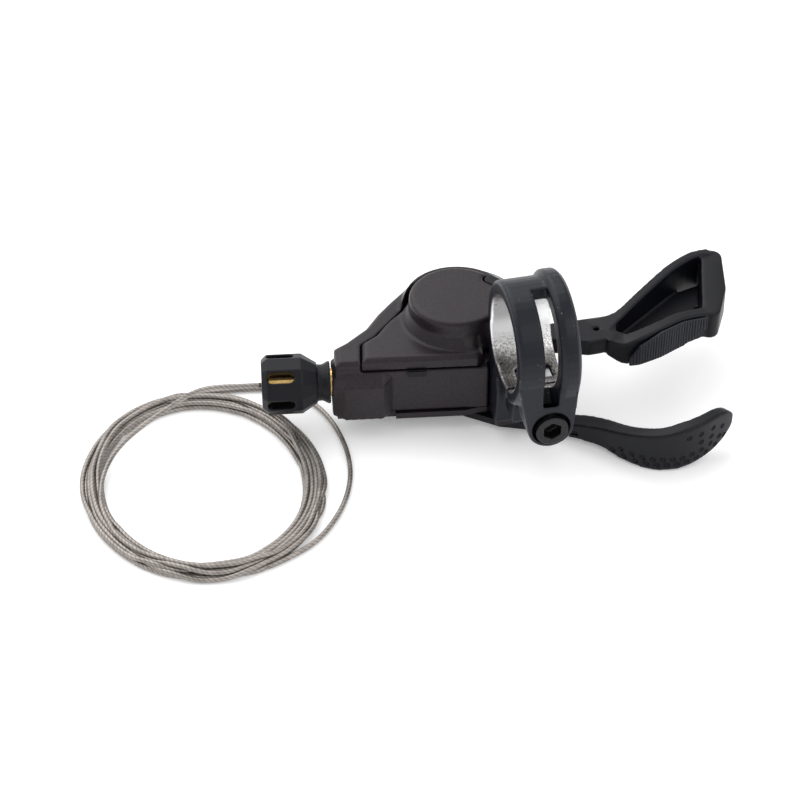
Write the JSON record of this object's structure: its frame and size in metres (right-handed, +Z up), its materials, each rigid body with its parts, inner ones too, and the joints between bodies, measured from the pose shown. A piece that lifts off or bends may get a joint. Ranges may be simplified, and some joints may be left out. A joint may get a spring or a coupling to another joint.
{
  "type": "bicycle thumb shifter",
  "caption": "Two-lever bicycle gear shifter with a handlebar clamp, a thumb-pushed winding lever, a looped release lever, a cable adjuster and its coiled inner cable.",
  "frame": {"origin": "centre of the base of the box round the shifter without its loose cable, at table height", "axes": "+X along the handlebar towards the levers; +Y across the bar from the clamp towards the round cover; +Z up out of the top cover"},
  "size_m": [0.1631, 0.0761, 0.0476],
  "materials": {
    "cover_paint": "satin, fine metallic flake",
    "black_plastic": "satin, lightly textured",
    "black_alloy": "satin anodised",
    "steel": "plain zinc plate",
    "dark_steel": "black oxide",
    "brass": "turned",
    "wire": "stranded wire"
  },
  "bodies": {
    "shifter_body": {"housing_shell": "cover_paint", "top_cover": "cover_paint", "access_plug": "black_plastic", "base_plate": "dark_steel", "cover_tab": "black_plastic", "cover_screw": "dark_steel", "pivot_axle": "steel", "axle_nut": "steel", "main_spring": "steel", "release_spring": "steel", "hold_pawl_post": "steel", "clamp_band": "black_alloy", "clamp_bolt": "dark_steel", "clamp_nut": "steel", "bracket_screw": "dark_steel", "cable_lead": "wire", "cable_loop": "wire", "cable_coil": "wire"},
    "main_lever": {"main_lever_plate": "steel", "main_lever_paddle": "black_plastic", "paddle_rivet": "steel", "drive_pawl_post": "steel"},
    "drum": {"cable_drum": "black_plastic", "ratchet_wheel": "steel", "cable_nipple": "steel"},
    "cable": {"cable_inner": "wire"},
    "release": {"release_plate": "steel", "release_lever": "black_plastic", "release_grip": "black_plastic"},
    "drive_pawl_body": {"drive_pawl": "steel"},
    "hold_pawl_body": {"hold_pawl": "steel"},
    "barrel": {"adjuster_barrel": "brass"},
    "knob": {"adjuster_knob": "black_plastic"}
  },
  "joints": [
    {"name": "main_lever_pivot", "type": "hinge", "parent": "shifter_body", "child": "main_lever", "pos_m": [-0.01022, 0.01024, 0.0025], "axis": [0, 0, 1], "range_deg": [0, 35], "stiffness_Nm_per_rad": 0.03, "springref_deg": -20.05},
    {"name": "drum_turn", "type": "hinge", "parent": "shifter_body", "child": "drum", "pos_m": [-0.01022, 0.01024, 0.013], "axis": [0, 0, 1], "range_deg": [0, 35]},
    {"name": "cable_pull", "type": "slide", "parent": "shifter_body", "child": "cable", "axis": [0.9877, -0.1564, 0], "range_m": [0, 0.0074]},
    {"name": "release_lever_pivot", "type": "hinge", "parent": "shifter_body", "child": "release", "pos_m": [-0.01022, 0.01024, 0.017], "axis": [0, 0, 1], "range_deg": [-7, 10], "stiffness_Nm_per_rad": 0.04},
    {"name": "drive_pawl_pivot", "type": "hinge", "parent": "main_lever", "child": "drive_pawl_body", "pos_m": [-0.01152, 0.02249, 0.0073], "axis": [0, 0, -1], "range_deg": [0, 8], "stiffness_Nm_per_rad": 0.0001},
    {"name": "hold_pawl_pivot", "type": "hinge", "parent": "shifter_body", "child": "hold_pawl_body", "pos_m": [0.00143, 0.00454, 0.0073], "axis": [0, 0, 1], "range_deg": [0, 10], "stiffness_Nm_per_rad": 0.0001},
    {"name": "barrel_screw", "type": "slide", "parent": "shifter_body", "child": "barrel", "axis": [-0.9877, 0.1564, 0], "range_m": [0, 0.0024]},
    {"name": "knob_turn", "type": "hinge", "parent": "barrel", "child": "knob", "pos_m": [-0.05159, 0.00474, 0.013], "axis": [-0.9877, 0.1564, 0], "range_deg": [0, 1080]}
  ],
  "couplings": [
    {"joint": "drum_turn", "follows": "main_lever_pivot", "ratio": 1},
    {"joint": "cable_pull", "follows": "main_lever_pivot", "m_per_rad": 0.0119},
    {"joint": "knob_turn", "follows": "barrel_screw", "rad_per_m": 7853.9}
  ]
}
